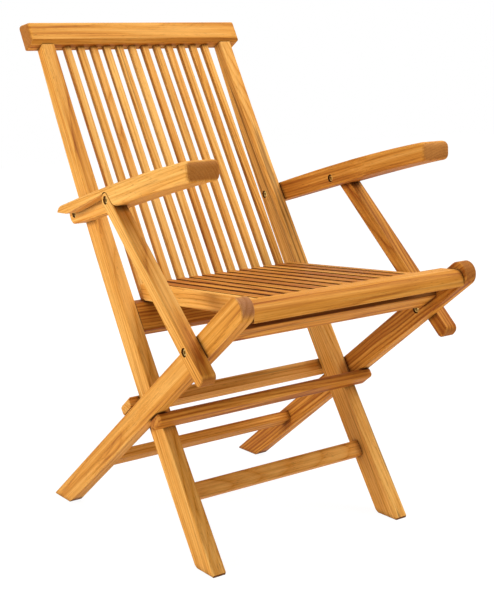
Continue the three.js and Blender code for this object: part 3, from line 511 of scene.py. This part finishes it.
def clean_mesh(name, source):
    """The CAD solid, with its faces joined where they lie flat."""
    mesh = source.copy()
    mesh.name = name
    mesh.materials.clear()
    work = bmesh.new()
    work.from_mesh(mesh)
    bmesh.ops.remove_doubles(work, verts=work.verts, dist=WELD_REACH)
    bmesh.ops.dissolve_limit(
        work, angle_limit=FLAT_ANGLE, use_dissolve_boundaries=False, verts=work.verts, edges=work.edges,
    )
    bmesh.ops.triangulate(work, faces=[face for face in work.faces if len(face.verts) > MOST_CORNERS])
    for face in work.faces:
        face.smooth = True
    work.to_mesh(mesh)
    work.free()
    return mesh


def board(node, body, look, seed):
    """A sawn, rounded and oiled board in the place of a CAD node."""
    source = frame["nodes"][node]
    place = long_frame(source.data)
    obj = bpy.data.objects.new(f"wood_{node}", clean_mesh(f"wood_{node}", source.data))
    scene.collection.objects.link(obj)
    soften = obj.modifiers.new("arris", "BEVEL")
    soften.limit_method = "ANGLE"
    soften.angle_limit = EDGE_ANGLE
    soften.width = EDGE_WIDTH
    soften.segments = EDGE_STEPS
    soften.use_clamp_overlap = True
    soften.miter_outer = "MITER_ARC"
    weigh = obj.modifiers.new("flat_faces", "WEIGHTED_NORMAL")
    weigh.keep_sharp = True
    weigh.weight = FLAT_WEIGHT
    obj.data.materials.append(teak_material(node, seed, place, **look))
    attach(obj, body)
    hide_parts(node)


# ---------------------------------------------------------------- fasteners

TURN_STEPS = 48
RIM_ROUND = 0.9 * MM
RIM_STEPS = 4
RIM_SHARE = 0.97
CROWN_RISE = 0.25 * MM
SOCKET_HALF = 2.6 * MM
SOCKET_LIP = 0.25 * MM
SOCKET_DEPTH = 2.3 * MM
NECK_RADIUS = 4.2 * MM
THREAD_RADIUS = 2.8 * MM
THREAD_REACH = 10.0 * MM
BORE_RADIUS = 3.1 * MM
BORE_REACH = 9.5 * MM
TAIL_DEPTH = 0.2 * MM
HEAD_HEIGHT = 4.0 * MM
SHARP_ANGLE = math.radians(35)
HEX_TURN = math.pi / 3


def hex_radius(angle, half):
    """How far the outline of a hexagon lies from its middle."""
    turn = (angle + HEX_TURN / 2) % HEX_TURN - HEX_TURN / 2
    return half / math.cos(turn)


def neck_loops(tail, length):
    """The radius and depth of each ring of the neck, from the CAD radii at the fastener's far end."""
    if tail.max() < BORE_RADIUS:
        return [
            (THREAD_RADIUS, -length),
            (THREAD_RADIUS, THREAD_REACH - length),
            (NECK_RADIUS, THREAD_REACH - length),
        ]
    if tail.min() > THREAD_RADIUS:
        return [
            (BORE_RADIUS, BORE_REACH - length),
            (BORE_RADIUS, -length),
            (NECK_RADIUS, -length),
        ]
    return [(NECK_RADIUS, -length)]


def fastener(node, body):
    """A turned brass head with a rounded rim and a hexagon socket, on a threaded, bored or plain neck."""
    points = np.array([v.co for v in frame["nodes"][node].data.vertices])
    low, high = points.min(0), points.max(0)
    middle = (low + high) / 2
    radial = np.hypot(points[:, 1] - middle[1], points[:, 2] - middle[2])
    head_radius = radial.max()
    outward = 1 if points[radial > RIM_SHARE * head_radius, 0].mean() > middle[0] else -1
    face = high[0] if outward > 0 else low[0]
    length = high[0] - low[0]

    tail = radial[np.abs(points[:, 0] - face) > length - TAIL_DEPTH]
    loops = [(radius, depth, False) for radius, depth in neck_loops(tail, length)]
    loops.append((NECK_RADIUS, -HEAD_HEIGHT, False))
    loops.append((head_radius, -HEAD_HEIGHT, False))
    for step in range(RIM_STEPS + 1):
        angle = math.pi / 2 * step / RIM_STEPS
        loops.append((
            head_radius - RIM_ROUND * (1 - math.cos(angle)),
            -CROWN_RISE - RIM_ROUND * (1 - math.sin(angle)),
            False,
        ))
    loops.append((SOCKET_HALF + SOCKET_LIP, 0.0, True))
    loops.append((SOCKET_HALF, -SOCKET_LIP, True))
    loops.append((SOCKET_HALF, -SOCKET_DEPTH, True))

    work = bmesh.new()
    rows = []
    for radius, depth, is_hex in loops:
        row = []
        for step in range(TURN_STEPS):
            angle = 2 * math.pi * step / TURN_STEPS
            reach = hex_radius(angle, radius) if is_hex else radius
            row.append(work.verts.new((
                face + outward * depth,
                middle[1] + reach * math.cos(angle),
                middle[2] + reach * math.sin(angle),
            )))
        rows.append(row)
    for inner, outer in zip(rows, rows[1:]):
        for step in range(TURN_STEPS):
            after = (step + 1) % TURN_STEPS
            work.faces.new((inner[step], inner[after], outer[after], outer[step]))
    work.faces.new(rows[0])
    tip = work.verts.new((face - outward * (SOCKET_DEPTH + SOCKET_LIP), middle[1], middle[2]))
    for step in range(TURN_STEPS):
        work.faces.new((rows[-1][step], rows[-1][(step + 1) % TURN_STEPS], tip))
    bmesh.ops.recalc_face_normals(work, faces=work.faces)
    for one in work.faces:
        one.smooth = True
    mesh = bpy.data.meshes.new(f"head_{node}")
    work.to_mesh(mesh)
    work.free()
    mesh.set_sharp_from_angle(angle=SHARP_ANGLE)
    mesh.materials.append(BRASS)
    obj = bpy.data.objects.new(f"head_{node}", mesh)
    scene.collection.objects.link(obj)
    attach(obj, body)
    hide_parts(node)


# ---------------------------------------------------------------- the whole chair

# How each board was cut, where the photograph shows it
LOOKS = {
    "crest_rail": {
        "cut": 80, "distance": 0.1, "ring": 0.006, "contrast": 0.22, "streaks": 0.5, "tone": 0.40,
        "red": 0.05,
    },
    "right_stile": {"tone": 0.58, "red": 0.0, "streaks": 0.2},
    "left_stile": {"tone": 0.70, "red": 0.06, "streaks": 0.5},
    "right_arm": {"tone": 0.62, "red": 0.0, "streaks": 0.1},
    "left_arm": {"tone": 0.38, "red": 0.1, "streaks": 0.2, "contrast": 0.2, "end_pale": srgb(214, 146, 74)},
    "right_strut": {"tone": 0.56, "red": 0.0, "drift": 0.5},
    "left_strut": {"tone": 0.24, "red": 0.0, "streaks": 0.15, "drift": 1.2},
    "left_leg": {"tone": 0.20, "red": 0.05, "drift": -0.2},
    "right_leg": {
        "cut": 95, "distance": 0.05, "lean_y": 0.05, "ring": 0.008, "contrast": 0.3, "tone": 0.48,
        "red": 0.0, "end_pale": srgb(205, 150, 112),
    },
    "front_stretcher": {
        "cut": 88, "distance": 0.06, "lean_z": 0.08, "ring": 0.006, "contrast": 0.34, "tone": 0.60,
        "red": 0.3,
    },
    "seat_front_rail": {"tone": 0.36, "red": 0.1, "streaks": 0.3},
    "seat_right_rail": {"tone": 0.52, "red": 0.0},
    # painted shade on this rail's sides and in its gap under the seat front rail
    "leg_tip_rail": {"tone": 0.30, "red": 0.05, "side": 0.8, "painted_shade": 1.0},
    "leg_foot_rail": {"tone": 0.40, "red": 0.05},
    "low_back_rail": {"tone": 0.32, "red": 0.0},
    "rear_stop_rail": {"end": 0.2, "tone": 0.60, "red": 0.0},
    "front_stop_rail": {"end": 0.2, "tone": 0.18, "red": 0.1},
}

# The slats, each counted from 1
BACK_SLAT_TONES = (0.70, 0.70, 0.62, 0.70, 0.74, 0.76, 0.58, 0.76, 0.66, 0.60, 0.64, 0.58)
RED_BACK_SLATS = (3, 7, 9)
RED_SLAT_SHARE = 0.25
SEAT_SLATS = 11
SEAT_SLAT_TONES = (0.20, 0.27, 0.16)
# the seat slats carry painted shade on their sides and in the gaps between them
SEAT_SLAT_LOOK = {"red": 0.0, "streaks": 0.3, "painted_shade": 1.0, "side": 0.9}

for number, tone in enumerate(BACK_SLAT_TONES, 1):
    LOOKS[f"back_slat_{number:02d}"] = {
        "tone": tone, "red": RED_SLAT_SHARE if number in RED_BACK_SLATS else 0.0,
    }
for number in range(1, SEAT_SLATS + 1):
    tone = SEAT_SLAT_TONES[number % len(SEAT_SLAT_TONES)]
    LOOKS[f"seat_slat_{number:02d}"] = {"tone": tone, **SEAT_SLAT_LOOK}

FIRST_SEED = 11

body_of = {node: body for body, nodes in frame["record"]["behaviour"]["bodies"].items() for node in nodes}
slot_of = {row["node"]: row["material_slot"] for row in frame["record"]["subparts"]}

for seed, node in enumerate(sorted(frame["nodes"]), FIRST_SEED):
    if slot_of[node] == "teak":
        board(node, body_of[node], LOOKS.get(node, {}), seed)
    elif node.endswith(("screw", "nut")):
        fastener(node, body_of[node])
    else:
        frame["nodes"][node].data.materials.clear()
        frame["nodes"][node].data.materials.append(BRASS)


# ---------------------------------------------------------------- camera, light and floor

WHITE = (1, 1, 1, 1)
WORLD_LIGHT = 0.27
FLOOR_HALF = 12.0
FLOOR_DROP = 0.2 * MM
FLOOR_COLOUR = (0.86, 0.79, 0.69, 1)
FLOOR_BOUNCE = 0.20
FLOOR_SHADED = (0.12, 0.12, 0.12, 1)
FLOOR_GLOW = 0.95
FLOOR_GLOW_REACH = (0.8, 1.8)

# Softboxes: name, place, target and size in metres, and power in watts
SOFTBOXES = (
    ("left_key", (-3.0, 0.4, 1.0), (0, 0, 0.4), (1.5, 1.5), 58),
    ("high_key", (1.4, -1.2, 3.0), (0, 0, 0.4), (1.8, 1.8), 69),
    ("top", (0.0, 0.1, 3.2), (0, 0, 0.3), (2.0, 2.0), 36),
    ("front_fill", (0.4, -3.2, 1.0), (0, 0, 0.4), (2.0, 1.6), 5),
)


def photo_camera():
    """The camera at the photograph's angle."""
    forward = Vector((
        math.cos(CAMERA_YAW) * math.cos(CAMERA_PITCH),
        math.sin(CAMERA_YAW) * math.cos(CAMERA_PITCH),
        -math.sin(CAMERA_PITCH),
    ))
    level = forward.cross(Vector((0, 0, 1))).normalized()
    upright = level.cross(forward)
    right = level * math.cos(CAMERA_ROLL) + upright * math.sin(CAMERA_ROLL)
    up = upright * math.cos(CAMERA_ROLL) - level * math.sin(CAMERA_ROLL)
    data = bpy.data.cameras.new("photo_camera")
    data.lens = CAMERA_LENS
    data.sensor_width = CAMERA_SENSOR
    data.sensor_fit = "AUTO"
    camera = bpy.data.objects.new("photo_camera", data)
    scene.collection.objects.link(camera)
    place = Matrix((right, up, -forward)).transposed().to_4x4()
    place.translation = CAMERA_PLACE
    camera.matrix_world = place
    scene.camera = camera


def softbox(name, place, target, size, power):
    """A soft lamp that looks at its target."""
    data = bpy.data.lights.new(name, "AREA")
    data.shape = "RECTANGLE"
    data.size, data.size_y = size
    data.energy = power
    lamp = bpy.data.objects.new(name, data)
    scene.collection.objects.link(lamp)
    lamp.location = place
    lamp.rotation_euler = (Vector(target) - Vector(place)).to_track_quat("-Z", "Y").to_euler()


def white_world():
    """A world that shows white and lights the chair softly."""
    world = bpy.data.worlds.new("studio")
    t = empty_tree(world)
    strength = t.span(t.backdrop_rays(), 0.0, 1.0, WORLD_LIGHT, 1.0, smooth=False)
    sky = t.node("ShaderNodeBackground", {"Color": WHITE, "Strength": strength})
    t.node("ShaderNodeOutputWorld", {"Surface": sky.outputs["Background"]})
    scene.world = world


def white_floor():
    """A floor that shows white with the chair's shadow, and sends warm light up to it."""
    mesh = bpy.data.meshes.new("floor")
    corners = [(x * FLOOR_HALF, y * FLOOR_HALF, 0) for x, y in ((-1, -1), (1, -1), (1, 1), (-1, 1))]
    mesh.from_pydata(corners, [], [(0, 1, 2, 3)])
    floor = bpy.data.objects.new("floor", mesh)
    scene.collection.objects.link(floor)
    floor.location.z = -FLOOR_DROP
    material = bpy.data.materials.new("floor_white")
    t = empty_tree(material)
    paint = t.node("ShaderNodeBsdfDiffuse", {"Color": FLOOR_COLOUR})
    bounce = t.node("ShaderNodeEmission", {"Color": FLOOR_COLOUR, "Strength": FLOOR_BOUNCE})
    under = t.node("ShaderNodeAddShader", {0: paint.outputs["BSDF"], 1: bounce.outputs["Emission"]})
    away = t.vector("LENGTH", t.node("ShaderNodeTexCoord").outputs["Object"])
    glow = t.node("ShaderNodeEmission", {
        "Color": WHITE, "Strength": t.span(away, *FLOOR_GLOW_REACH, FLOOR_GLOW, 1.0),
    })
    shaded = t.node("ShaderNodeBsdfDiffuse", {"Color": FLOOR_SHADED})
    lit = t.node("ShaderNodeAddShader", {0: glow.outputs["Emission"], 1: shaded.outputs["BSDF"]})
    both = t.node("ShaderNodeMixShader", {
        0: t.backdrop_rays(), 1: under.outputs["Shader"], 2: lit.outputs["Shader"],
    })
    t.node("ShaderNodeOutputMaterial", {"Surface": both.outputs["Shader"]})
    mesh.materials.append(material)


photo_camera()
white_world()
white_floor()
for row in SOFTBOXES:
    softbox(*row)
scene.view_settings.view_transform = "Standard"
